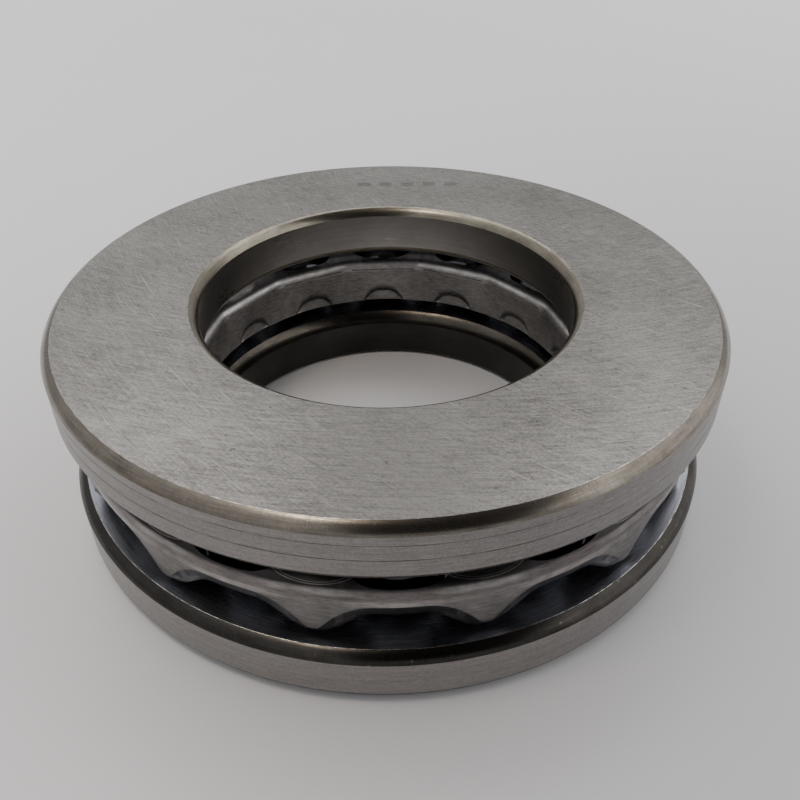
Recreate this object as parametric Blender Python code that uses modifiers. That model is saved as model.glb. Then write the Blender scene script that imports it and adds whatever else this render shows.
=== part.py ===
"""Single-direction thrust ball bearing with flat seats.

Two ground steel washers face each other, each with a ball groove. Between them a pressed sheet-steel
cage holds one ring of balls. The bearing stands on the housing washer's flat back, its axis is +Z,
and its origin is on the axis at that back face. Angles run from the front (-Y) towards +X.
"""
import math
from collections import namedtuple

import bmesh
import bpy
from mathutils import Euler, Matrix, Vector

# Boundary dimensions
SHAFT_BORE_D = 0.065
HOUSING_BORE_D = 0.067
OUTER_D = 0.115
HEIGHT = 0.036

# Rolling elements
BALL_D = 0.017462
BALL_COUNT = 14
PITCH_R = 0.045
FIRST_BALL_ANGLE = math.radians(2.2)
CONFORMITY = 0.54          # groove radius as a share of the ball diameter
GAP = 0.0003               # smallest gap between two pieces

# Washers
WASHER_T = 0.0103
WasherEdges = namedtuple("WasherEdges", "outer_back outer_race bore_back bore_race")
SHAFT_EDGES = WasherEdges(0.0016, 0.0019, 0.0015, 0.0019)
HOUSING_EDGES = WasherEdges(0.0022, 0.0016, 0.0010, 0.0020)
TURN_STEPS = 56
EDGE_SEGMENTS = 3
GROOVE_SEGMENTS = 6

# Cage
SHEET_T = 0.0010
CAGE_TOP = 0.0228
CAGE_OUTER_R = 0.05515
SHOULDER_R = 0.0027        # large bend from the outer wall into the top
ARCH_TOP = 0.0158          # lower edge of the outer wall over a ball
TAB_TIP = 0.0114           # lower edge of the outer wall at a tab
TAB_HALF_WIDTH = 0.0006
TAB_FLARE = 0.0082         # width over which a tab's side rises to the arch
CREASE_TOP = 0.0185        # start of the rim coined round an arch, over a ball and at a tab
CREASE_LOW = 0.0131
CREASE_RISE = 0.0063
CREASE_SWEEP = 0.0088
CREASE_SOFTNESS = 0.0005
RIM_LEAN = 0.0010          # how far the coined rim is pressed in towards the balls
CAGE_BORE_R = 0.03441      # inner wall, measured beside a ball at its top
CORNER_RISE = 0.0008       # how much further out the inner wall is between two balls
CORNER_SOFTNESS = 0.16
ROLL_R = 0.0015            # bend from the inner wall into the top
INSIDE_BEND = 0.0005
INNER_EDGE = 0.0131        # lower edge of the inner wall
DIMPLE_HEIGHT = 0.0031     # pressed dimple at each ball, open to that edge
DIMPLE_HALF_WIDTH = 0.0040
DIMPLE_DEPTH = 0.0006
DIMPLE_LIP = 0.0009        # height over which it steps outward at its top
WINDOW_INNER_R = 0.0368    # windows in the top, one over each ball
WINDOW_OUTER_R = 0.0547
WINDOW_HALF_ANGLE = math.radians(9.5)
WINDOW_ROUNDING = 0.60     # 1 gives an oval window, 0 a square-cornered one
WINDOW_DEPTH = 0.0018      # how far a window's cutter reaches below the cage's top
STEPS_PER_BALL = 10
INNER_WALL_STEPS = 6
WINDOW_STEPS = 20
POCKET_PLAY = 0.00033

# Ball mesh and pocket cutter mesh
BALL_SEGMENTS, BALL_RINGS = 16, 8
POCKET_SEGMENTS, POCKET_RINGS = 24, 14
MERGE = 0.00001

BALL_R = BALL_D / 2
BALL_Z = HEIGHT / 2
BALL_PITCH = 2 * math.pi / BALL_COUNT
GROOVE_R = CONFORMITY * BALL_D
GROOVE_DEPTH = BALL_R + GAP - (HEIGHT / 2 - WASHER_T)


def clear_scene():
    for obj in list(bpy.data.objects):
        bpy.data.objects.remove(obj, do_unlink=True)


def new_collection(name):
    collection = bpy.data.collections.new(name)
    bpy.context.scene.collection.children.link(collection)
    return collection


def metal(name, colour, roughness):
    """A plain Principled metal."""
    material = bpy.data.materials.new(name)
    material.use_nodes = True
    shader = material.node_tree.nodes["Principled BSDF"]
    shader.inputs["Base Color"].default_value = (*colour, 1.0)
    shader.inputs["Metallic"].default_value = 1.0
    shader.inputs["Roughness"].default_value = roughness
    return material


def add_object(name, mesh, collection, parent=None, material=None):
    obj = bpy.data.objects.new(name, mesh)
    collection.objects.link(obj)
    obj.parent = parent
    if material and not mesh.materials:
        mesh.materials.append(material)
    return obj


def arc(centre, radius, start_deg, end_deg, segments):
    """Points of an arc in a turned section, as (radius, height) pairs."""
    points = []
    for i in range(segments + 1):
        angle = math.radians(start_deg + (end_deg - start_deg) * i / segments)
        points.append((centre[0] + radius * math.cos(angle), centre[1] + radius * math.sin(angle)))
    return points


def washer_profile(bore_r, edges):
    """Closed section of a washer, back face at height 0 and grooved face up, outer side first."""
    outer_r = OUTER_D / 2
    groove_z = WASHER_T - GROOVE_DEPTH + GROOVE_R
    half_angle = math.degrees(math.acos((groove_z - WASHER_T) / GROOVE_R))
    corners = (
        (outer_r - edges.outer_race, WASHER_T - edges.outer_race, edges.outer_race, 90),
        (outer_r - edges.outer_back, edges.outer_back, edges.outer_back, 0),
        (bore_r + edges.bore_back, edges.bore_back, edges.bore_back, -90),
        (bore_r + edges.bore_race, WASHER_T - edges.bore_race, edges.bore_race, -180),
    )
    points = []
    for radius, height, rounding, start in corners:
        points += arc((radius, height), rounding, start, start - 90, EDGE_SEGMENTS)
    points += arc((PITCH_R, groove_z), GROOVE_R, -90 - half_angle, -90 + half_angle, GROOVE_SEGMENTS)
    return points


def make_washer(name, bore_r, edges, collection, axis, material):
    """A washer turned from its section."""
    profile = washer_profile(bore_r, edges)
    count = len(profile)
    mesh = bpy.data.meshes.new(name)
    loop = [(i, (i + 1) % count) for i in range(count)]
    mesh.from_pydata([(radius, 0.0, height) for radius, height in profile], loop, [])
    washer = add_object(name, mesh, collection, axis, material)
    screw = washer.modifiers.new("turn", "SCREW")
    screw.steps = TURN_STEPS
    screw.render_steps = TURN_STEPS
    screw.use_merge_vertices = True
    screw.merge_threshold = MERGE
    screw.use_smooth_shade = True
    return washer


def make_housing_washer(collection, axis, material):
    return make_washer("housing_washer", HOUSING_BORE_D / 2, HOUSING_EDGES, collection, axis, material)


def make_shaft_washer(collection, axis, material):
    """The same kind of washer turned over, with its groove facing down."""
    washer = make_washer("shaft_washer", SHAFT_BORE_D / 2, SHAFT_EDGES, collection, axis, material)
    washer.location = (0.0, 0.0, HEIGHT)
    washer.rotation_euler = (math.pi, 0.0, 0.0)
    return washer


def smooth_step(value):
    value = min(max(value, 0.0), 1.0)
    return value * value * (3 - 2 * value)


def outer_edge_height(from_ball):
    """Lower edge of the outer wall: an arch over each ball and a tab halfway between balls."""
    from_tab = (BALL_PITCH / 2 - abs(from_ball)) * CAGE_OUTER_R
    return TAB_TIP + (ARCH_TOP - TAB_TIP) * smooth_step((from_tab - TAB_HALF_WIDTH) / TAB_FLARE)


def crease_height(from_ball):
    """Where the outer wall turns inward into the coined rim."""
    from_tab = (BALL_PITCH / 2 - abs(from_ball)) * CAGE_OUTER_R
    from_tab = math.hypot(from_tab, CREASE_SOFTNESS) - CREASE_SOFTNESS
    sweep = CREASE_TOP - CREASE_RISE * max(0.0, 1 - from_tab / CREASE_SWEEP) ** 2.4
    return (sweep + CREASE_LOW + math.hypot(sweep - CREASE_LOW, CREASE_SOFTNESS)) / 2


def inner_radius(from_ball, height):
    """Radius of the inner wall: flattened beside each ball at the top, round and dimpled below."""
    between = 1 - math.hypot(1 - (2 * from_ball / BALL_PITCH) ** 2, CORNER_SOFTNESS)
    down = ((CAGE_TOP - height) / (CAGE_TOP - INNER_EDGE)) ** 0.6
    wall = CAGE_BORE_R + CORNER_RISE * (between + (1 - between) * down)
    across = from_ball * CAGE_BORE_R / DIMPLE_HALF_WIDTH
    crown = DIMPLE_HEIGHT * math.sqrt(max(0.0, 1 - across * across))
    fade = min((height - INNER_EDGE) / max(crown - DIMPLE_LIP, SHEET_T / 5), 1.0)
    dimple = DIMPLE_DEPTH * smooth_step((INNER_EDGE + crown - height) / DIMPLE_LIP) * (0.3 + 0.7 * fade)
    return max(CAGE_BORE_R, wall) + dimple


def cage_section(from_ball):
    """Section of the cage at an angle from the nearest ball, as (radius, height) pairs."""
    outer_low = outer_edge_height(from_ball)
    crease = crease_height(from_ball)
    rim_r = inner_radius(from_ball, CAGE_TOP)
    inside_r = CAGE_OUTER_R - SHEET_T
    under = CAGE_TOP - SHEET_T
    shoulder = (CAGE_OUTER_R - SHOULDER_R, CAGE_TOP - SHOULDER_R)
    wall_top = CAGE_TOP - ROLL_R - SHEET_T / 3
    heights = [wall_top + (INNER_EDGE - wall_top) * i / INNER_WALL_STEPS for i in range(INNER_WALL_STEPS + 1)]
    wall = [(inner_radius(from_ball, height), height) for height in heights]
    return (
        [(CAGE_OUTER_R - RIM_LEAN, outer_low), (CAGE_OUTER_R, crease)]
        + arc(shoulder, SHOULDER_R, 0, 90, 4)
        + arc((rim_r + ROLL_R, CAGE_TOP - ROLL_R), ROLL_R, 90, 180, 3)
        + wall
        + [(radius + SHEET_T, height) for radius, height in wall[::-1]]
        + [(rim_r + SHEET_T + INSIDE_BEND, under)]
        + arc(shoulder, SHOULDER_R - SHEET_T, 90, 0, 2)
        + [(inside_r, crease), (inside_r - RIM_LEAN, outer_low)]
    )


def make_pocket_cutters(collection):
    """One sphere for each ball pocket, a little larger than the ball."""
    shape = bmesh.new()
    for index in range(BALL_COUNT):
        bmesh.ops.create_uvsphere(
            shape,
            u_segments=POCKET_SEGMENTS,
            v_segments=POCKET_RINGS,
            radius=BALL_R + POCKET_PLAY,
            matrix=ball_place(index),
        )
    return add_cutters("pocket_cutters", shape, collection)


def make_window_cutters(collection):
    """One prism for each window in the cage's top: a ring sector with rounded corners."""
    shape = bmesh.new()
    middle_r = (WINDOW_INNER_R + WINDOW_OUTER_R) / 2
    half_r = (WINDOW_OUTER_R - WINDOW_INNER_R) / 2
    for index in range(BALL_COUNT):
        floor, roof = [], []
        for step in range(WINDOW_STEPS):
            turn = 2 * math.pi * (step + 0.5) / WINDOW_STEPS
            side, end = math.cos(turn), math.sin(turn)
            angle = WINDOW_HALF_ANGLE * math.copysign(abs(side) ** WINDOW_ROUNDING, side)
            angle += FIRST_BALL_ANGLE + index * BALL_PITCH
            radius = middle_r + half_r * math.copysign(abs(end) ** WINDOW_ROUNDING, end)
            x, y = radius * math.sin(angle), -radius * math.cos(angle)
            floor.append(shape.verts.new((x, y, CAGE_TOP - WINDOW_DEPTH)))
            roof.append(shape.verts.new((x, y, CAGE_TOP + SHEET_T)))
        shape.faces.new(floor)
        shape.faces.new(roof)
        for step in range(WINDOW_STEPS):
            following = (step + 1) % WINDOW_STEPS
            shape.faces.new((floor[step], floor[following], roof[following], roof[step]))
    bmesh.ops.recalc_face_normals(shape, faces=shape.faces)
    return add_cutters("window_cutters", shape, collection)


def add_cutters(name, shape, collection):
    mesh = bpy.data.meshes.new(name)
    shape.to_mesh(mesh)
    shape.free()
    cutters = add_object(name, mesh, collection)
    cutters.hide_render = True
    cutters.display_type = "WIRE"
    return cutters


def make_cage(collection, cutter_collection, axis, material):
    """The pressed cage, lofted through its changing section and pierced for the balls."""
    steps = BALL_COUNT * STEPS_PER_BALL
    shape = bmesh.new()
    rings = []
    for step in range(steps):
        from_ball = (step % STEPS_PER_BALL) * BALL_PITCH / STEPS_PER_BALL
        if from_ball > BALL_PITCH / 2:
            from_ball -= BALL_PITCH
        angle = FIRST_BALL_ANGLE + step * BALL_PITCH / STEPS_PER_BALL
        outward = (math.sin(angle), -math.cos(angle))
        section = cage_section(from_ball)
        rings.append([shape.verts.new((r * outward[0], r * outward[1], z)) for r, z in section])
    for step, ring in enumerate(rings):
        following = rings[(step + 1) % steps]
        for i in range(len(ring)):
            j = (i + 1) % len(ring)
            shape.faces.new((ring[i], following[i], following[j], ring[j]))
    bmesh.ops.recalc_face_normals(shape, faces=shape.faces)
    mesh = bpy.data.meshes.new("ball_cage")
    shape.to_mesh(mesh)
    shape.free()
    mesh.shade_smooth()
    mesh.set_sharp_from_angle(angle=math.radians(50))
    cage = add_object("ball_cage", mesh, collection, axis, material)
    for cutters in (make_pocket_cutters(cutter_collection), make_window_cutters(cutter_collection)):
        cut = cage.modifiers.new(cutters.name, "BOOLEAN")
        cut.operation = "DIFFERENCE"
        cut.solver = "EXACT"
        cut.object = cutters
    return cage


def ball_place(index):
    """Position of a ball, its local Z pointing outward along the axis it rolls about."""
    angle = FIRST_BALL_ANGLE + index * BALL_PITCH
    centre = Vector((PITCH_R * math.sin(angle), -PITCH_R * math.cos(angle), BALL_Z))
    turn = Euler((math.pi / 2, 0.0, angle)).to_matrix().to_4x4()
    return Matrix.Translation(centre) @ turn


def make_balls(collection, cage, material):
    """The ring of balls, each its own object, all sharing one mesh."""
    shape = bmesh.new()
    bmesh.ops.create_uvsphere(shape, u_segments=BALL_SEGMENTS, v_segments=BALL_RINGS, radius=BALL_R)
    mesh = bpy.data.meshes.new("ball")
    shape.to_mesh(mesh)
    shape.free()
    mesh.shade_smooth()
    for index in range(BALL_COUNT):
        ball = add_object(f"ball_{index + 1:02d}", mesh, collection, cage, material)
        ball.matrix_local = ball_place(index)


def build():
    clear_scene()
    bearing = new_collection("thrust_ball_bearing")
    cutters = new_collection("cutters")
    axis = bpy.data.objects.new("bearing_axis", None)
    bearing.objects.link(axis)
    make_housing_washer(bearing, axis, metal("ground_washer", (0.42, 0.41, 0.40), 0.32))
    make_shaft_washer(bearing, axis, metal("ground_shaft_washer", (0.44, 0.43, 0.42), 0.32))
    cage = make_cage(bearing, cutters, axis, metal("pressed_sheet", (0.36, 0.36, 0.37), 0.38))
    make_balls(bearing, cage, metal("polished_ball", (0.60, 0.60, 0.61), 0.08))


build()
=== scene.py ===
"""Looks of the thrust ball bearing: fine turned washers, a detailed pressed cage and polished balls.

Lengths are in metres. Angles round the bearing run from the front (-Y) towards +X.
"""
import math

import bmesh
import bpy
from mathutils import Euler, Matrix, Vector


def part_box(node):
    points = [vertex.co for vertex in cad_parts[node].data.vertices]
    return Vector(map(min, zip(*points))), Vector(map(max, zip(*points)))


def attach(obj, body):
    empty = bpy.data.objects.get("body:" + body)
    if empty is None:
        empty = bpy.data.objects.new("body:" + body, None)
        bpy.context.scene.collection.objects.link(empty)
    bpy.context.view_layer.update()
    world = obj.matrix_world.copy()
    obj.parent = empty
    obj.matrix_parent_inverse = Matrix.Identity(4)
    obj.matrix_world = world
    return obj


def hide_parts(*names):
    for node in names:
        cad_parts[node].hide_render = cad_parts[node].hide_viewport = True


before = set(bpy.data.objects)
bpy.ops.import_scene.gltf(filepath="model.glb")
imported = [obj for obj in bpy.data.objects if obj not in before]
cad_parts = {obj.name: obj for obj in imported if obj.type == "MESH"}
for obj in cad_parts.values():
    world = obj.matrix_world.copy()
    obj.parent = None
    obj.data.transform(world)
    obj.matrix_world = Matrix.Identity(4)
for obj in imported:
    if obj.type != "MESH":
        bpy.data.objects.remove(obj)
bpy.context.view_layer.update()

MM = 0.001

# Washers
TURN_STEPS = 360
EDGE_PIECES = 14
GROOVE_PIECES = 40
CONFORMITY = 0.54           # groove radius as a share of the ball diameter
GROOVE_PLAY = 0.00003       # gap between a ball and the bottom of its groove
CREST = 0.00007             # width of the rubbed crest between a face and its edge rounding
CREST_DROP = 0.00002        # how far the crest falls over that width

# Width along the face, height along the rim and arc radius of the four edge roundings,
# in the order outer race side, outer back side, bore back side, bore race side.
SHAFT_EDGES = tuple(tuple(v * MM for v in edge) for edge in (
    (1.9, 1.9, 3.0), (1.6, 1.5, 3.0), (1.45, 1.5, 2.7), (1.9, 1.9, 3.0),
))
HOUSING_EDGES = tuple(tuple(v * MM for v in edge) for edge in (
    (1.65, 1.5, 3.0), (2.2, 2.3, 3.4), (1.0, 0.9, 1.2), (1.7, 2.4, 4.0),
))
# Scores turned in the shaft washer's rim: distance from its back face, width and depth
SHAFT_SCORES = ((0.0056, 0.00016, 0.00005), (0.0030, 0.00012, 0.00004))

# Etched dashes on the shaft washer's back face
DASHES = 5
DASH_ROW = (0.0041, 0.0455)     # middle of the row
DASH_SPACING = 0.0047
DASH_HALF_HEIGHT = (0.0008, 0.0013)     # where a dash starts to fade, and where it ends

# Cage
SHEET = 0.0010
BROKEN_EDGE = 0.00015       # how far the sheet's cut edges are rounded off
POCKET_PLAY = 0.00016       # how much larger a pocket's radius is than a ball's
CAGE_STEPS_PER_BALL = 44
ARCH_TOP = 0.0158           # lower edge of the outer wall over a ball
TAB_HALF_WIDTH = 0.0006
TAB_FLARE = 0.0082          # width over which a tab's side rises to the arch
CREASE_TOP = 0.0185         # start of the coined rim over a ball
CREASE_LOW = 0.0131         # start of the coined rim at a tab
CREASE_RISE = 0.0063        # fall of that curve from the arch to the middle of a tab
CREASE_SWEEP = 0.0088       # and the width over which it falls
CREASE_SOFTNESS = 0.0005
COIN_LEAN = 0.0010          # how far the rim is pressed in towards the balls
SHOULDER = 0.0027           # radius of the large outer bend
ROLL = 0.0015               # radius of the bend round the inner rim
INSIDE_BEND = 0.0005        # radius under that rim
INNER_LOW = 0.0131          # lower edge of the inner wall
INNER_WALL_STEPS = 22
CORNER_RISE = 0.0008        # how much further out the inner wall is between two balls
CORNER_SOFTNESS = 0.16
DIMPLE_HEIGHT = 0.0031      # a pressed dimple at each ball, open to the inner wall's lower edge
DIMPLE_HALF_WIDTH = 0.0040
DIMPLE_DEPTH = 0.00060
DIMPLE_LIP = 0.0009         # height over which it steps outward at its top
DARK_BELOW = -0.28          # faces that look down more than this, the rims and lips among them, get painted shade
WINDOW_INNER_R = 0.0368     # windows in the top, one over each ball
WINDOW_OUTER_R = 0.0547
WINDOW_HALF_ANGLE = math.radians(9.5)
WINDOW_ROUNDING = 0.60      # 1 gives an oval window, 0 a square-cornered one
WINDOW_STEPS = 64
WINDOW_DEPTH = 0.0018       # how far a window's cutter reaches below the cage's top

# Cage shading
OUTER_SIDE = (0.048, 0.049)         # radii over which the outer side's painted light and shade set in
INNER_SIDE = (0.0380, 0.0390)       # radii over which the inner side's painted highlight and shade, and its extra roughness, end
PAINTED_LIGHT_BAND = (0.0180, 0.0230)             # heights between which the outer side's painted light and shade run
INNER_RIM_HIGHLIGHT = (0.0205, 0.0216)        # heights over which a painted highlight brightens the inner wall to its rim
HIGHLIGHT_ARCS = ((0.02178, 0.00007), (0.02200, 0.00004))     # height at a web and half width of each painted highlight arc
HIGHLIGHT_ARC_BOW = 24.0                      # rise of those arcs over the square of the distance from the web
# heights over which painted shade sets in over those arcs
SHADE_ABOVE_ARCS = (0.02172, 0.02182)

# Balls and their pockets
SPHERE_SEGMENTS, SPHERE_RINGS = 72, 36


# ---------------------------------------------------------------- measures from the frame

def radii(node):
    """Smallest and largest distance of a node's surface from the bearing axis."""
    spans = [math.hypot(v.co.x, v.co.y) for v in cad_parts[node].data.vertices]
    return min(spans), max(spans)


def middle(node):
    low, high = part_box(node)
    return (low + high) / 2


BALLS = sorted(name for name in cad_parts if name.startswith("ball_") and name != "ball_cage")
BALL_PITCH = 2 * math.pi / len(BALLS)
FIRST = middle(BALLS[0])
FIRST_ANGLE = math.atan2(FIRST.x, -FIRST.y)
PITCH_R = math.hypot(FIRST.x, FIRST.y)
BALL_R = (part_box(BALLS[0])[1].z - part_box(BALLS[0])[0].z) / 2
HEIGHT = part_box("shaft_washer")[1].z
CAGE_BORE_R, CAGE_R = radii("ball_cage")
CAGE_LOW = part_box("ball_cage")[0].z
CAGE_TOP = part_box("ball_cage")[1].z


# ---------------------------------------------------------------- node helpers

class Nodes:
    """Small helper that adds and links shader nodes."""

    def __init__(self, name):
        self.material = bpy.data.materials.new(name)
        self.material.use_nodes = True
        self.tree = self.material.node_tree
        self.shader = self.tree.nodes["Principled BSDF"]

    def add(self, kind, **settings):
        node = self.tree.nodes.new(kind)
        for key, value in settings.items():
            setattr(node, key, value)
        return node

    def link(self, source, target):
        self.tree.links.new(source, target)

    def feed(self, socket, value):
        """Link a socket, or set a plain number or colour."""
        if isinstance(value, bpy.types.NodeSocket):
            self.link(value, socket)
        elif isinstance(value, tuple):
            socket.default_value = (*value, 1.0)
        else:
            socket.default_value = value

    def math(self, operation, first, second=0.0):
        node = self.add("ShaderNodeMath", operation=operation)
        self.feed(node.inputs[0], first)
        self.feed(node.inputs[1], second)
        return node.outputs[0]

    def times(self, first, *others):
        for other in others:
            first = self.math("MULTIPLY", first, other)
        return first

    def minus(self, first, second):
        return self.math("SUBTRACT", first, second)

    def absolute(self, value):
        return self.math("ABSOLUTE", value)

    def position(self):
        return self.add("ShaderNodeTexCoord").outputs["Object"]

    def split(self, vector):
        node = self.add("ShaderNodeSeparateXYZ")
        self.link(vector, node.inputs[0])
        return node.outputs

    def join(self, x, y, z=0.0):
        node = self.add("ShaderNodeCombineXYZ")
        for socket, value in zip(node.inputs, (x, y, z)):
            self.feed(socket, value)
        return node.outputs[0]

    def polar(self, centre=(0.0, 0.0)):
        """Distance and angle round a point in the XY plane, and height."""
        x, y, z = self.split(self.position())
        x = self.minus(x, centre[0])
        y = self.minus(y, centre[1])
        square = self.math("ADD", self.times(x, x), self.times(y, y))
        return self.math("SQRT", square), self.math("ARCTAN2", y, x), z

    def noise(self, vector, scale, detail=3.0, rough=0.6):
        node = self.add("ShaderNodeTexNoise", noise_type="FBM")
        self.link(vector, node.inputs["Vector"])
        node.inputs["Scale"].default_value = scale
        node.inputs["Detail"].default_value = detail
        node.inputs["Roughness"].default_value = rough
        return node.outputs["Fac"]

    def ramp(self, value, stops):
        """Map a value through a ramp of (position, colour) stops."""
        node = self.add("ShaderNodeValToRGB")
        self.link(value, node.inputs[0])
        elements = node.color_ramp.elements
        while len(elements) < len(stops):
            elements.new(0.5)
        for element, (place, colour) in zip(elements, stops):
            element.position = place
            element.color = (*colour, 1.0)
        return node.outputs["Color"]

    def spread(self, value, low, high, out_low, out_high):
        """Map low to high onto out_low to out_high, and hold those values outside."""
        node = self.add("ShaderNodeMapRange")
        self.feed(node.inputs["Value"], value)
        for key, number in zip(("From Min", "From Max", "To Min", "To Max"), (low, high, out_low, out_high)):
            node.inputs[key].default_value = number
        return node.outputs["Result"]

    def blend(self, factor, first, second, kind="MIX"):
        node = self.add("ShaderNodeMix", data_type="RGBA", blend_type=kind)
        self.feed(node.inputs[0], factor)
        self.feed(node.inputs[6], first)
        self.feed(node.inputs[7], second)
        return node.outputs[2]

    def bump(self, height, strength, distance):
        node = self.add("ShaderNodeBump")
        node.inputs["Strength"].default_value = strength
        node.inputs["Distance"].default_value = distance
        self.link(height, node.inputs["Height"])
        return node.outputs["Normal"]

    def finish(self, colour, roughness, normal=None, metallic=1.0):
        self.feed(self.shader.inputs["Base Color"], colour)
        self.feed(self.shader.inputs["Roughness"], roughness)
        self.shader.inputs["Metallic"].default_value = metallic
        if normal:
            self.link(normal, self.shader.inputs["Normal"])
        return self.material


# ---------------------------------------------------------------- materials

def weigh(m, *parts):
    """Sum of (value, weight) pairs."""
    total = None
    for value, weight in parts:
        share = m.times(value, weight)
        total = share if total is None else m.math("ADD", total, share)
    return total


def arcs(m, centre, across, along, detail=3.0, rough=0.65):
    """Long streaks that follow circles round a point in the XY plane."""
    reach, around, _ = m.polar(centre)
    return m.noise(m.join(m.times(reach, across), m.times(around, along)), 1.0, detail, rough)


def nicks(m, scale, rarity):
    """Sparse small marks, 1 inside a mark and 0 elsewhere."""
    return m.spread(m.noise(m.position(), scale, 2.0, 0.5), rarity, rarity + 0.03, 0.0, 1.0)


def etched_dashes(m):
    """A row of plain dashes, 1 on a dash and 0 elsewhere."""
    x, y, _ = m.split(m.position())
    along = m.math("DIVIDE", m.minus(x, DASH_ROW[0]), DASH_SPACING)
    from_dash = m.absolute(m.minus(along, m.math("ROUND", along)))
    on_dash = m.spread(from_dash, 0.24, 0.32, 1.0, 0.0)
    in_row = m.spread(m.absolute(along), DASHES / 2 - 0.05, DASHES / 2, 1.0, 0.0)
    in_height = m.spread(m.absolute(m.minus(y, DASH_ROW[1])), *DASH_HALF_HEIGHT, 1.0, 0.0)
    return m.times(on_dash, in_row, in_height)


def ground_face():
    """Flat face off a surface grinder: fine shallow arcs, crossing scratches and nicks."""
    m = Nodes("ground_face")
    lay = arcs(m, (0.012, 0.135), 6400.0, 40.0, 4.0, 0.7)
    wide = arcs(m, (0.012, 0.135), 2100.0, 20.0, 2.0, 0.6)
    oblique = arcs(m, (0.13, 0.10), 5200.0, 34.0, 3.0, 0.7)
    grain = m.noise(m.position(), 2600.0, 3.0, 0.7)
    cloud = m.noise(m.position(), 45.0, 3.0, 0.55)
    scratch = m.spread(arcs(m, (0.13, 0.10), 2600.0, 12.0, 2.0, 0.6), 0.66, 0.71, 0.0, 1.0)
    gouge = m.spread(arcs(m, (0.16, 0.16), 1700.0, 18.0, 2.0, 0.5), 0.70, 0.74, 0.0, 1.0)
    marks = nicks(m, 900.0, 0.72)
    tone = weigh(m, (lay, 0.30), (wide, 0.14), (oblique, 0.20), (grain, 0.22), (cloud, 0.14))
    colour = m.ramp(tone, ((0.42, (0.136, 0.129, 0.120)), (0.58, (0.360, 0.344, 0.326))))
    colour = m.blend(m.times(scratch, 0.60), colour, (0.50, 0.48, 0.46))
    colour = m.blend(m.times(gouge, 0.50), colour, (0.10, 0.094, 0.088))
    colour = m.blend(m.times(marks, 0.6), colour, (0.07, 0.066, 0.062))
    colour = m.blend(m.times(etched_dashes(m), 0.55), colour, (0.10, 0.096, 0.092))
    roughness = m.spread(tone, 0.41, 0.59, 0.46, 0.32)
    height = weigh(m, (lay, 0.5), (oblique, 0.3), (grain, 0.4), (gouge, -0.4), (marks, -0.6))
    return m.finish(colour, roughness, m.bump(height, 0.35, 0.00002))


def turned_lines(m, lines_per_m, around_scale=2.0, detail=3.0):
    """Fine rings round the axis that differ by height and radius."""
    reach, around, height = m.polar()
    rings = m.join(m.times(reach, lines_per_m), m.times(around, around_scale), m.times(height, lines_per_m))
    return m.noise(rings, 1.0, detail, 0.7)


def ground_rim(name="ground_rim", dark=(0.180, 0.171, 0.163), light=(0.285, 0.272, 0.261)):
    """Cylindrical ground surface: fine rings, broken darker lines and a few scuffs."""
    m = Nodes(name)
    rings = turned_lines(m, 5200.0, 16.0)
    bands = turned_lines(m, 1500.0, 3.0, 2.0)
    grain = m.noise(m.position(), 2400.0, 3.0, 0.7)
    lines = m.spread(turned_lines(m, 2600.0, 6.0, 2.0), 0.66, 0.71, 0.0, 1.0)
    scuffs = m.spread(m.noise(m.position(), 330.0, 4.0, 0.7), 0.66, 0.74, 0.0, 1.0)
    tone = weigh(m, (rings, 0.40), (bands, 0.22), (grain, 0.38))
    colour = m.ramp(tone, ((0.38, dark), (0.62, light)))
    colour = m.blend(m.times(lines, 0.30), colour, dark)
    colour = m.blend(m.times(scuffs, 0.50), colour, tuple(0.6 * v for v in dark))
    roughness = m.spread(tone, 0.36, 0.64, 0.42, 0.28)
    height = weigh(m, (rings, 1.0), (lines, -0.4))
    return m.finish(colour, roughness, m.bump(height, 0.30, 0.00002))


def ground_bore(name, dark, light):
    """Bore wall: smoother than the rim, with soft cloudy bands."""
    m = Nodes(name)
    rings = turned_lines(m, 3000.0, 4.0)
    bands = m.noise(m.position(), 70.0, 3.0, 0.5)
    tone = weigh(m, (rings, 0.3), (bands, 0.7))
    colour = m.ramp(tone, ((0.36, dark), (0.64, light)))
    return m.finish(colour, m.spread(tone, 0.36, 0.64, 0.36, 0.26), m.bump(rings, 0.12, 0.00001))


def turned_edge(name, dark, light):
    """Edge rounding left as turned and heat-treated: brown, with tool rings and small nicks."""
    m = Nodes(name)
    rings = turned_lines(m, 5200.0, 12.0)
    chatter = turned_lines(m, 900.0, 300.0, 2.0)
    patches = m.noise(m.position(), 150.0, 4.0, 0.6)
    marks = nicks(m, 1500.0, 0.70)
    tone = weigh(m, (rings, 0.40), (chatter, 0.25), (patches, 0.35))
    colour = m.ramp(tone, ((0.36, dark), (0.66, light)))
    colour = m.blend(m.times(marks, 0.22), colour, (0.34, 0.325, 0.30))
    roughness = m.spread(tone, 0.36, 0.66, 0.30, 0.18)
    height = weigh(m, (rings, 1.0), (chatter, 0.5), (marks, -0.7))
    return m.finish(colour, roughness, m.bump(height, 0.35, 0.00002))


def worn_edge():
    """The crest where a face meets its edge rounding, rubbed bright in broken dashes."""
    m = Nodes("worn_edge")
    dashes = m.noise(m.position(), 620.0, 4.0, 0.7)
    colour = m.ramp(dashes, ((0.40, (0.12, 0.110, 0.100)), (0.62, (0.66, 0.64, 0.615))))
    return m.finish(colour, m.spread(dashes, 0.40, 0.60, 0.40, 0.24))


def raceway():
    """Lapped ball groove: smooth, with faint running rings."""
    m = Nodes("raceway")
    rings = turned_lines(m, 2600.0, 1.0, 2.0)
    colour = m.ramp(rings, ((0.35, (0.20, 0.20, 0.21)), (0.65, (0.27, 0.27, 0.285))))
    return m.finish(colour, m.spread(rings, 0.35, 0.65, 0.22, 0.14), m.bump(rings, 0.08, 0.00001))


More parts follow.
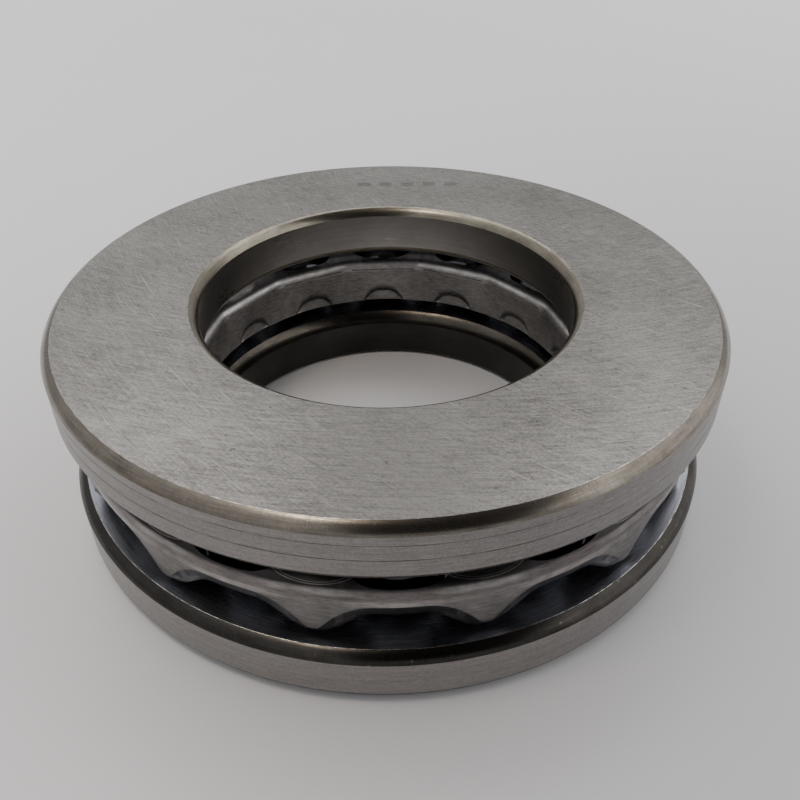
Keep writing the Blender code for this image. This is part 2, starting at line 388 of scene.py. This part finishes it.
def race_land():
    """Oiled, bluish land beside the ball groove."""
    m = Nodes("race_land")
    rings = turned_lines(m, 3600.0, 3.0)
    colour = m.ramp(rings, ((0.35, (0.26, 0.265, 0.30)), (0.65, (0.44, 0.45, 0.505))))
    return m.finish(colour, m.spread(rings, 0.35, 0.65, 0.36, 0.24), m.bump(rings, 0.15, 0.00001))


def distance_round(m, around, share, radius):
    """Distance round the cage from the nearest ball (share 0) or from halfway between (share 0.5)."""
    turns = m.math("DIVIDE", m.math("ADD", around, math.pi / 2 - FIRST_ANGLE), BALL_PITCH)
    turns = m.math("ADD", turns, 0.5 - share)
    turns = m.minus(turns, m.math("FLOOR", turns))
    return m.times(m.minus(turns, 0.5), BALL_PITCH * radius)


def dimple_shade(m, around, height):
    """Masks at each dimple of the inner wall: painted shade over its top crease, and a painted highlight on
    its lower part.
    """
    across = m.math("DIVIDE", distance_round(m, around, 0.0, CAGE_BORE_R), DIMPLE_HALF_WIDTH)
    left = m.math("MAXIMUM", m.minus(1.0, m.times(across, across)), 0.0)
    crown = m.times(m.math("SQRT", left), DIMPLE_HEIGHT)
    over = m.minus(m.minus(height, INNER_LOW), crown)
    near = m.spread(m.absolute(across), 0.70, 1.10, 1.0, 0.0)
    rise = m.spread(over, -0.0009, -0.0001, 0.0, 1.0)
    fall = m.spread(over, 0.0001, 0.0012, 1.0, 0.0)
    belly_highlight = m.spread(over, -0.0016, -0.0009, 1.0, 0.0)
    return m.times(rise, fall, near), m.times(belly_highlight, near)


def highlight_arcs(m, around, height):
    """Masks round each web between windows: two thin arcs of painted highlight, the part over them for
    painted shade, and the web.
    """
    from_web = distance_round(m, around, 0.5, CAGE_R)
    bowed = m.minus(height, m.times(from_web, from_web, HIGHLIGHT_ARC_BOW))
    lines = None
    for start, width in HIGHLIGHT_ARCS:
        off = m.absolute(m.minus(bowed, start))
        line = m.spread(off, 0.3 * width, width, 1.0, 0.0)
        lines = line if lines is None else m.math("MAXIMUM", lines, line)
    above = m.spread(bowed, *SHADE_ABOVE_ARCS, 0.0, 1.0)
    near_web = m.spread(m.absolute(from_web), 0.0035, 0.0085, 1.0, 0.0)
    return lines, above, near_web


def pressed_sheet():
    """Pressed and tumbled steel sheet with drawing streaks, mottle and nicks. Painted light: painted shade
    over the outer shoulder, painted highlights on the ridge, web arcs and inner rim, painted shade and
    highlight at the dimples.
    """
    m = Nodes("pressed_sheet")
    reach, around, height = m.polar()
    streaks = m.noise(m.join(m.times(around, 22.0), m.times(height, 2400.0)), 1.0, 3.0, 0.65)
    mottle = m.noise(m.position(), 420.0, 4.0, 0.65)
    broad = m.noise(m.position(), 90.0, 2.0, 0.5)
    marks = nicks(m, 900.0, 0.73)
    tone = weigh(m, (streaks, 0.45), (mottle, 0.25), (broad, 0.30))
    colour = m.ramp(tone, ((0.38, (0.122, 0.117, 0.113)), (0.62, (0.245, 0.236, 0.230))))
    outer = m.spread(reach, *OUTER_SIDE, 0.0, 1.0)
    inner = m.spread(reach, *INNER_SIDE, 1.0, 0.0)
    ragged = m.math("ADD", height, m.times(m.minus(broad, 0.5), 0.0006))
    rise = m.spread(ragged, *PAINTED_LIGHT_BAND, 0.0, 1.0)
    # painted light by height on the outer side: a painted highlight on the ridge, painted shade over the
    # shoulder under the shaft washer, and at a web a painted highlight just under that shade
    over_ball_painted_light = m.ramp(rise, (
        (0.06, (1.0, 1.0, 1.0)), (0.14, (1.85, 1.83, 1.80)), (0.27, (1.65, 1.62, 1.60)),
        (0.36, (0.95, 0.91, 0.90)), (0.62, (0.72, 0.67, 0.67)), (0.72, (0.20, 0.19, 0.20)),
    ))
    at_web_painted_light = m.ramp(rise, (
        (0.10, (1.0, 1.0, 1.0)), (0.24, (1.15, 1.14, 1.12)), (0.42, (0.78, 0.74, 0.73)),
        (0.56, (1.30, 1.29, 1.27)), (0.64, (1.10, 1.09, 1.08)), (0.72, (0.17, 0.165, 0.165)),
    ))
    lines, above, near_web = highlight_arcs(m, around, height)
    painted_light_zone = m.blend(near_web, over_ball_painted_light, at_web_painted_light)
    # painted shade over the arcs, and a painted highlight along them
    painted_light_zone = m.blend(above, painted_light_zone, (0.20, 0.20, 0.20))
    painted_light_zone = m.blend(m.times(lines, 0.30), painted_light_zone, (1.9, 1.85, 1.8))
    colour = m.blend(outer, colour, painted_light_zone, "MULTIPLY")
    # painted highlight on the inner wall, strongest on the rolled rim
    rim = m.spread(height, *INNER_RIM_HIGHLIGHT, 1.17, 2.5)
    colour = m.blend(inner, colour, m.join(rim, rim, rim), "MULTIPLY")
    crease, belly_highlight = dimple_shade(m, around, height)
    # painted shade over each dimple's crease, and a painted highlight under it
    colour = m.blend(m.times(crease, inner, 0.85), colour, (0.02, 0.02, 0.02))
    colour = m.blend(m.times(belly_highlight, inner, 0.5), colour, (1.7, 1.68, 1.65), "MULTIPLY")
    colour = m.blend(m.times(marks, 0.3), colour, (0.42, 0.41, 0.40))
    roughness = m.spread(tone, 0.38, 0.62, 0.40, 0.26)
    roughness = m.math("ADD", roughness, m.times(inner, 0.14))
    return m.finish(colour, roughness, m.bump(tone, 0.35, 0.00004))


def cage_painted_shade():
    """Painted shade for the cage's rims, pressed lips and other faces that look down, with a faint mottle.
    """
    m = Nodes("cage_painted_shade")
    mottle = m.noise(m.position(), 300.0, 4.0, 0.6)
    colour = m.ramp(mottle, ((0.38, (0.045, 0.045, 0.049)), (0.62, (0.105, 0.105, 0.112))))
    return m.finish(colour, m.spread(mottle, 0.38, 0.62, 0.42, 0.30), m.bump(mottle, 0.25, 0.00003))


def score_line():
    """Grime in a turned score, broken here and there."""
    m = Nodes("score_line")
    breaks = turned_lines(m, 200.0, 9.0, 3.0)
    colour = m.ramp(breaks, ((0.42, (0.09, 0.085, 0.080)), (0.60, (0.24, 0.228, 0.217))))
    return m.finish(colour, 0.5)


def polished_ball():
    """Lapped ball with a trace of smudges; its very dark colour is painted shade from inside the bearing."""
    m = Nodes("polished_ball")
    smudge = m.noise(m.position(), 260.0, 3.0, 0.55)
    colour = m.ramp(smudge, ((0.38, (0.05, 0.05, 0.055)), (0.62, (0.08, 0.08, 0.086))))
    return m.finish(colour, m.spread(smudge, 0.38, 0.62, 0.08, 0.14))


def table_top():
    """Pale matt table."""
    m = Nodes("table_top")
    cloud = m.noise(m.position(), 3.0, 2.0, 0.5)
    colour = m.ramp(cloud, ((0.3, (0.705, 0.691, 0.707)), (0.7, (0.735, 0.721, 0.737))))
    return m.finish(colour, 0.55, metallic=0.0)


# ---------------------------------------------------------------- objects

def add_object(name, data):
    obj = bpy.data.objects.new(name, data)
    bpy.context.scene.collection.objects.link(obj)
    return obj


def mesh_of(shape, name, *materials):
    """Turn a bmesh into a mesh with these materials."""
    mesh = bpy.data.meshes.new(name)
    shape.to_mesh(mesh)
    shape.free()
    for material in materials:
        mesh.materials.append(material)
    return mesh


# ---------------------------------------------------------------- turned washers

class Section:
    """The outline of a turned ring, with a finish named for each stretch."""

    def __init__(self, start):
        self.points = [start]
        self.finishes = []

    def line(self, end, finish, pieces=1):
        start = self.points[-1]
        for i in range(1, pieces + 1):
            share = i / pieces
            self.points.append(tuple(a + (b - a) * share for a, b in zip(start, end)))
            self.finishes.append(finish)

    def arc(self, end, radius, finish, pieces, hollow=False):
        """An arc to a point, bulging to the left of the way there, or to the right if hollow."""
        start = Vector(self.points[-1])
        chord = Vector(end) - start
        side = Vector((-chord.y, chord.x)).normalized()
        if hollow:
            side = -side
        back = math.sqrt(radius * radius - (chord.length / 2) ** 2)
        centre = start + chord / 2 - side * back
        half = math.asin(chord.length / 2 / radius)
        turn = half if hollow else -half
        first = start - centre
        for i in range(1, pieces + 1):
            angle = 2 * turn * i / pieces
            c, s = math.cos(angle), math.sin(angle)
            point = centre + Vector((first.x * c - first.y * s, first.x * s + first.y * c))
            self.points.append(tuple(point))
            self.finishes.append(finish)


def turned_ring(name, section, materials):
    """A ring turned round the bearing axis from a section that ends where it starts."""
    points = section.points[:-1]
    names = list(materials)
    shape = bmesh.new()
    rings = []
    for step in range(TURN_STEPS):
        angle = 2 * math.pi * step / TURN_STEPS
        c, s = math.cos(angle), math.sin(angle)
        rings.append([shape.verts.new((r * c, r * s, z)) for r, z in points])
    for step, ring in enumerate(rings):
        following = rings[(step + 1) % TURN_STEPS]
        for i, finish in enumerate(section.finishes):
            j = (i + 1) % len(points)
            face = shape.faces.new((ring[i], following[i], following[j], ring[j]))
            face.material_index = names.index(finish)
    bmesh.ops.recalc_face_normals(shape, faces=shape.faces)
    mesh = mesh_of(shape, name, *materials.values())
    mesh.shade_smooth()
    mesh.set_sharp_from_angle(angle=math.radians(9))
    return add_object(name, mesh)


def scored(section, bottom, outer_r, scores, finish):
    """A rim down to the bottom with shallow turned scores, each (height, width, depth)."""
    for height, width, depth in scores:
        section.line((outer_r, height + width / 2), finish)
        section.line((outer_r - depth, height + width / 8), "score")
        section.line((outer_r - depth, height - width / 8), "score")
        section.line((outer_r, height - width / 2), "score")
    section.line((outer_r, bottom), finish)


def washer_section(bore_r, outer_r, thick, edges, scores):
    """Section with the back face at 0 and the ball groove in the face above it."""
    outer_race, outer_back, bore_back, bore_race = edges
    groove_r = CONFORMITY * 2 * BALL_R
    groove_low = thick - (BALL_R + GROOVE_PLAY - (HEIGHT / 2 - thick))
    half = math.sqrt(groove_r ** 2 - (groove_low + groove_r - thick) ** 2)
    top = thick - CREST_DROP
    section = Section((outer_r - outer_race[0] - CREST, thick))
    section.line((outer_r - outer_race[0], top), "worn_edge")
    section.arc((outer_r, thick - outer_race[1]), outer_race[2], "turned_edge", EDGE_PIECES)
    scored(section, outer_back[1], outer_r, scores, "ground_rim")
    section.arc((outer_r - outer_back[0], CREST_DROP), outer_back[2], "turned_edge", EDGE_PIECES)
    section.line((outer_r - outer_back[0] - CREST, 0.0), "worn_edge")
    section.line((bore_r + bore_back[0] + CREST, 0.0), "ground_face", 4)
    section.line((bore_r + bore_back[0], CREST_DROP), "worn_edge")
    section.arc((bore_r, bore_back[1]), bore_back[2], "bore_edge", EDGE_PIECES)
    section.line((bore_r, thick - bore_race[1]), "ground_bore", 4)
    section.arc((bore_r + bore_race[0], top), bore_race[2], "bore_edge", EDGE_PIECES)
    section.line((bore_r + bore_race[0] + CREST, thick), "worn_edge")
    section.line((PITCH_R - half, thick), "race_land")
    section.arc((PITCH_R + half, thick), groove_r, "raceway", GROOVE_PIECES, hollow=True)
    section.line((outer_r - outer_race[0] - CREST, thick), "race_land")
    return section


def make_washer(name, node, edges, scores, materials, turned_over):
    """A washer to the frame's measures, its groove facing up, or down if it is turned over."""
    low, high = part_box(node)
    bore_r, outer_r = radii(node)
    section = washer_section(bore_r, outer_r, high.z - low.z, edges, scores)
    if turned_over:
        section.points = [(r, high.z - z) for r, z in section.points]
    washer = turned_ring(name, section, materials)
    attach(washer, node)
    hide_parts(node)


# ---------------------------------------------------------------- pressed cage

def smooth_step(value):
    value = min(max(value, 0.0), 1.0)
    return value * value * (3 - 2 * value)


def outer_edge(from_ball):
    """Height of the outer wall's lower edge: arches over the balls, tabs between them."""
    from_tab = (BALL_PITCH / 2 - abs(from_ball)) * CAGE_R
    return CAGE_LOW + (ARCH_TOP - CAGE_LOW) * smooth_step((from_tab - TAB_HALF_WIDTH) / TAB_FLARE)


def crease(from_ball):
    """Height where the coined rim round an arch starts."""
    from_tab = (BALL_PITCH / 2 - abs(from_ball)) * CAGE_R
    from_tab = math.hypot(from_tab, CREASE_SOFTNESS) - CREASE_SOFTNESS
    sweep = CREASE_TOP - CREASE_RISE * max(0.0, 1 - from_tab / CREASE_SWEEP) ** 2.4
    return (sweep + CREASE_LOW + math.hypot(sweep - CREASE_LOW, CREASE_SOFTNESS)) / 2


def inner_radius(from_ball, height):
    """Radius of the inner wall: flattened beside each ball at the top, round and dimpled lower down."""
    share = 1 - (2 * from_ball / BALL_PITCH) ** 2
    flat = CAGE_BORE_R + CORNER_RISE * (1 - math.hypot(share, CORNER_SOFTNESS))
    round_r = CAGE_BORE_R + CORNER_RISE
    down = min(max((CAGE_TOP - height) / (CAGE_TOP - INNER_LOW), 0.0), 1.0) ** 0.6
    across = from_ball * CAGE_BORE_R / DIMPLE_HALF_WIDTH
    crown = DIMPLE_HEIGHT * math.sqrt(max(0.0, 1 - across * across))
    below = INNER_LOW + crown - height
    fade = min(max((height - INNER_LOW) / max(crown - DIMPLE_LIP, 0.0002), 0.0), 1.0)
    dimple = DIMPLE_DEPTH * smooth_step(below / DIMPLE_LIP) * (0.3 + 0.7 * fade)
    return max(CAGE_BORE_R, flat + (round_r - flat) * down) + dimple


def spaced(start, end, count):
    """Points from start to end, both included."""
    return [tuple(a + (b - a) * i / (count - 1) for a, b in zip(start, end)) for i in range(count)]


def bend(centre, radius, start_deg, end_deg, pieces):
    angles = [math.radians(start_deg + (end_deg - start_deg) * i / pieces) for i in range(pieces + 1)]
    return [(centre[0] + radius * math.cos(a), centre[1] + radius * math.sin(a)) for a in angles]


def cage_section(from_ball):
    """Section of the cage at an angle from the nearest ball."""
    low = outer_edge(from_ball)
    fold = crease(from_ball)
    wall = CAGE_R
    inside = CAGE_R - SHEET
    under = CAGE_TOP - SHEET
    shoulder = CAGE_TOP - SHOULDER
    outline = [(wall - COIN_LEAN - BROKEN_EDGE, low), (wall - COIN_LEAN, low + BROKEN_EDGE)]
    halfway = (wall - COIN_LEAN * 0.60, low + (fold - low) * 0.45)
    outline += spaced(halfway, (wall - 0.00003, fold - 0.00008), 3)
    outline += spaced((wall, fold + 0.00006), (wall, shoulder - 0.0001), 4)
    outline += bend((wall - SHOULDER, shoulder), SHOULDER, 0, 90, 12)
    rim = inner_radius(from_ball, CAGE_TOP)
    outline += spaced((wall - SHOULDER - 0.001, CAGE_TOP), (rim + ROLL + 0.001, CAGE_TOP), 4)
    outline += bend((rim + ROLL, CAGE_TOP - ROLL), ROLL, 90, 180, 9)
    tall = CAGE_TOP - ROLL - 0.0003 - INNER_LOW
    heights = [INNER_LOW + tall * (1 - i / INNER_WALL_STEPS) for i in range(INNER_WALL_STEPS + 1)]
    outline += [(inner_radius(from_ball, z), z) for z in heights[:-1]]
    low_r = inner_radius(from_ball, INNER_LOW)
    outline += [(low_r, INNER_LOW + BROKEN_EDGE), (low_r + BROKEN_EDGE, INNER_LOW)]
    outline += [(low_r + SHEET - BROKEN_EDGE, INNER_LOW), (low_r + SHEET, INNER_LOW + BROKEN_EDGE)]
    outline += [(inner_radius(from_ball, z) + SHEET, z) for z in heights[-2::-2]]
    outline += bend((rim + SHEET + INSIDE_BEND, under - INSIDE_BEND), INSIDE_BEND, 180, 90, 3)
    outline += spaced((rim + 0.0030, under), (wall - SHOULDER - 0.001, under), 3)
    outline += bend((wall - SHOULDER, shoulder), SHOULDER - SHEET, 90, 0, 6)
    outline += spaced((inside, fold), (inside - COIN_LEAN, low + BROKEN_EDGE), 3)
    outline += [(inside - COIN_LEAN + BROKEN_EDGE, low)]
    return outline


def ball_place(name):
    """Place of a ball, its local Z pointing outward along the axis it rolls about."""
    centre = middle(name)
    turn = Euler((math.pi / 2, 0.0, math.atan2(centre.x, -centre.y))).to_matrix().to_4x4()
    return Matrix.Translation(centre) @ turn


def pocket_cutters():
    """A sphere for each pocket, a little larger than the ball."""
    shape = bmesh.new()
    for name in BALLS:
        bmesh.ops.create_uvsphere(
            shape, u_segments=SPHERE_SEGMENTS, v_segments=SPHERE_RINGS,
            radius=BALL_R + POCKET_PLAY, matrix=ball_place(name),
        )
    return add_object("pocket_cutters", mesh_of(shape, "pocket_cutters"))


def window_cutters():
    """A prism for each window: a ring sector with rounded corners."""
    shape = bmesh.new()
    middle_r = (WINDOW_INNER_R + WINDOW_OUTER_R) / 2
    half_r = (WINDOW_OUTER_R - WINDOW_INNER_R) / 2
    for index in range(len(BALLS)):
        outline = []
        for step in range(WINDOW_STEPS):
            turn = 2 * math.pi * step / WINDOW_STEPS
            side, end = math.cos(turn), math.sin(turn)
            angle = WINDOW_HALF_ANGLE * math.copysign(abs(side) ** WINDOW_ROUNDING, side)
            radius = middle_r + half_r * math.copysign(abs(end) ** WINDOW_ROUNDING, end)
            angle += FIRST_ANGLE + index * BALL_PITCH
            outline.append((radius * math.sin(angle), -radius * math.cos(angle)))
        floors = [shape.verts.new((x, y, CAGE_TOP - WINDOW_DEPTH)) for x, y in outline]
        roofs = [shape.verts.new((x, y, CAGE_TOP + SHEET)) for x, y in outline]
        shape.faces.new(floors)
        shape.faces.new(roofs)
        for i, floor in enumerate(floors):
            j = (i + 1) % len(floors)
            shape.faces.new((floor, floors[j], roofs[j], roofs[i]))
    bmesh.ops.recalc_face_normals(shape, faces=shape.faces)
    return add_object("window_cutters", mesh_of(shape, "window_cutters"))


def make_cage(sheet, coined):
    """The pressed cage, lofted round the bearing and pierced for the balls."""
    steps = len(BALLS) * CAGE_STEPS_PER_BALL
    shape = bmesh.new()
    rings = []
    for step in range(steps):
        from_ball = (step % CAGE_STEPS_PER_BALL) * BALL_PITCH / CAGE_STEPS_PER_BALL
        if from_ball > BALL_PITCH / 2:
            from_ball -= BALL_PITCH
        angle = FIRST_ANGLE + step * BALL_PITCH / CAGE_STEPS_PER_BALL
        x, y = math.sin(angle), -math.cos(angle)
        rings.append([shape.verts.new((r * x, r * y, z)) for r, z in cage_section(from_ball)])
    for step, ring in enumerate(rings):
        following = rings[(step + 1) % steps]
        for i in range(len(ring)):
            j = (i + 1) % len(ring)
            shape.faces.new((ring[i], following[i], following[j], ring[j]))
    bmesh.ops.recalc_face_normals(shape, faces=shape.faces)
    for face in shape.faces:
        # faces that look down take the second material, which is painted shade
        face.material_index = 1 if face.normal.z < DARK_BELOW else 0
    blank = add_object("cage_blank", mesh_of(shape, "cage_blank", sheet, coined))
    cutters = (pocket_cutters(), window_cutters())
    for cutter in cutters:
        cut = blank.modifiers.new(cutter.name, "BOOLEAN")
        cut.operation = "DIFFERENCE"
        cut.solver = "EXACT"
        cut.object = cutter
    depsgraph = bpy.context.evaluated_depsgraph_get()
    pierced = bpy.data.meshes.new_from_object(blank.evaluated_get(depsgraph))
    for spent in (blank, *cutters):
        bpy.data.objects.remove(spent)
    pierced.name = "pressed_cage"
    pierced.shade_smooth()
    pierced.set_sharp_from_angle(angle=math.radians(35))
    cage = add_object("pressed_cage", pierced)
    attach(cage, "ball_cage")
    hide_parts("ball_cage")


# ---------------------------------------------------------------- balls

def make_balls(material):
    shape = bmesh.new()
    bmesh.ops.create_uvsphere(shape, u_segments=SPHERE_SEGMENTS, v_segments=SPHERE_RINGS, radius=BALL_R)
    mesh = mesh_of(shape, "lapped_ball", material)
    mesh.shade_smooth()
    for name in BALLS:
        ball = add_object("lapped_" + name, mesh)
        ball.matrix_world = ball_place(name)
        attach(ball, name)
        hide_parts(name)


# ---------------------------------------------------------------- studio

def make_floor(material):
    shape = bmesh.new()
    bmesh.ops.create_circle(shape, cap_ends=True, segments=96, radius=3.0)
    floor = add_object("table", mesh_of(shape, "table", material))
    floor.location.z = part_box("housing_washer")[0].z


def panel(name, place, aim, size, power, colour):
    """A soft rectangular light."""
    data = bpy.data.lights.new(name, "AREA")
    data.shape = "RECTANGLE"
    data.size, data.size_y = size
    data.energy = power
    data.color = colour
    light = add_object(name, data)
    light.location = place
    light.rotation_mode = "QUATERNION"
    light.rotation_quaternion = (Vector(aim) - Vector(place)).to_track_quat("-Z", "Y")
    light.visible_camera = False


def make_card(name, place, size, tilt):
    """A dark card out of the camera's sight, for the steel to mirror."""
    shape = bmesh.new()
    bmesh.ops.create_grid(shape, x_segments=1, y_segments=1, size=0.5)
    black = Nodes(name).finish((0.02, 0.02, 0.02), 0.8, metallic=0.0)
    card = add_object(name, mesh_of(shape, name, black))
    card.scale = (*size, 1.0)
    card.location = place
    card.rotation_euler = (math.radians(tilt), 0.0, 0.0)
    card.visible_camera = False


def make_lights():
    centre = (0.0, 0.0, 0.02)
    panel("ceiling", (0.08, 0.50, 0.95), centre, (1.2, 0.8), 5.2, (1.0, 0.995, 0.99))
    panel("warm_left", (-0.17, -0.12, 0.78), centre, (0.16, 0.16), 1.1, (1.0, 0.86, 0.68))
    panel("soft_right", (0.75, -0.05, 0.45), centre, (1.1, 0.9), 2.9, (1.0, 0.99, 0.98))


def make_world():
    """An overcast room: dim round the horizon, brighter overhead."""
    world = bpy.data.worlds.new("studio")
    world.use_nodes = True
    tree = world.node_tree
    direction = tree.nodes.new("ShaderNodeTexCoord")
    split = tree.nodes.new("ShaderNodeSeparateXYZ")
    ramp = tree.nodes.new("ShaderNodeValToRGB")
    stops = ((0.0, 0.11), (0.30, 0.17), (0.72, 0.20), (0.93, 0.34), (1.0, 1.0))
    while len(ramp.color_ramp.elements) < len(stops):
        ramp.color_ramp.elements.new(0.5)
    for element, (place, tone) in zip(ramp.color_ramp.elements, stops):
        element.position = place
        element.color = (tone, tone, tone, 1.0)
    tree.links.new(direction.outputs["Generated"], split.inputs[0])
    tree.links.new(split.outputs["Z"], ramp.inputs[0])
    background = tree.nodes["Background"]
    tree.links.new(ramp.outputs["Color"], background.inputs["Color"])
    background.inputs["Strength"].default_value = 4.2
    bpy.context.scene.world = world


def make_camera():
    """Camera in front of the bearing, looking down at it."""
    distance, tilt, roll = 0.15942, math.radians(37.31), -0.0065
    aim = Vector((0.00224, 0.0, 0.01156))
    data = bpy.data.cameras.new("camera")
    data.sensor_width = 36.0
    data.lens = 37.35
    data.clip_start, data.clip_end = 0.002, 20.0
    camera = add_object("camera", data)
    ahead = Vector((0.0, math.cos(tilt), -math.sin(tilt)))
    camera.matrix_world = (
        Matrix.Translation(aim - ahead * distance)
        @ ahead.to_track_quat("-Z", "Y").to_matrix().to_4x4()
        @ Matrix.Rotation(roll, 4, "Z")
    )
    bpy.context.scene.camera = camera


shaft_finishes = {
    "ground_face": ground_face(),
    "ground_rim": ground_rim(),
    "ground_bore": ground_bore("ground_bore", (0.265, 0.251, 0.235), (0.42, 0.399, 0.374)),
    "turned_edge": turned_edge("turned_edge", (0.105, 0.092, 0.079), (0.270, 0.240, 0.203)),
    "bore_edge": turned_edge("bore_edge", (0.125, 0.112, 0.092), (0.31, 0.280, 0.225)),
    "worn_edge": worn_edge(),
    "raceway": raceway(),
    "race_land": race_land(),
    "score": score_line(),
}
housing_finishes = dict(
    shaft_finishes,
    ground_rim=ground_rim("ground_rim_low", (0.215, 0.204, 0.195), (0.335, 0.320, 0.307)),
    # painted shade: the housing washer's bore, deep inside the bearing, gets a far darker copy of the bore
    # finish
    ground_bore=ground_bore("bore_painted_shade", (0.038, 0.037, 0.036), (0.069, 0.067, 0.065)),
    # painted shade: its outer edge rounding, kept from the overhead light by the shaft washer, gets a darker
    # copy of the turned edge
    turned_edge=turned_edge("turned_edge_painted_shade", (0.025, 0.023, 0.021), (0.060, 0.055, 0.050)),
    # painted shade: its bore edge roundings, inside the bearing, get a darker copy of the bore edge
    bore_edge=turned_edge("bore_edge_painted_shade", (0.035, 0.031, 0.027), (0.11, 0.097, 0.082)),
)
make_washer("turned_housing_washer", "housing_washer", HOUSING_EDGES, (), housing_finishes, False)
make_washer("turned_shaft_washer", "shaft_washer", SHAFT_EDGES, SHAFT_SCORES, shaft_finishes, True)
make_cage(pressed_sheet(), cage_painted_shade())
make_balls(polished_ball())
make_floor(table_top())
make_card("front_card", (0.085, -0.07, 0.33), (0.28, 0.62), 42)
make_card("back_card", (0.0, 0.37, 0.50), (0.22, 0.20), -40)
make_lights()
make_world()
make_camera()
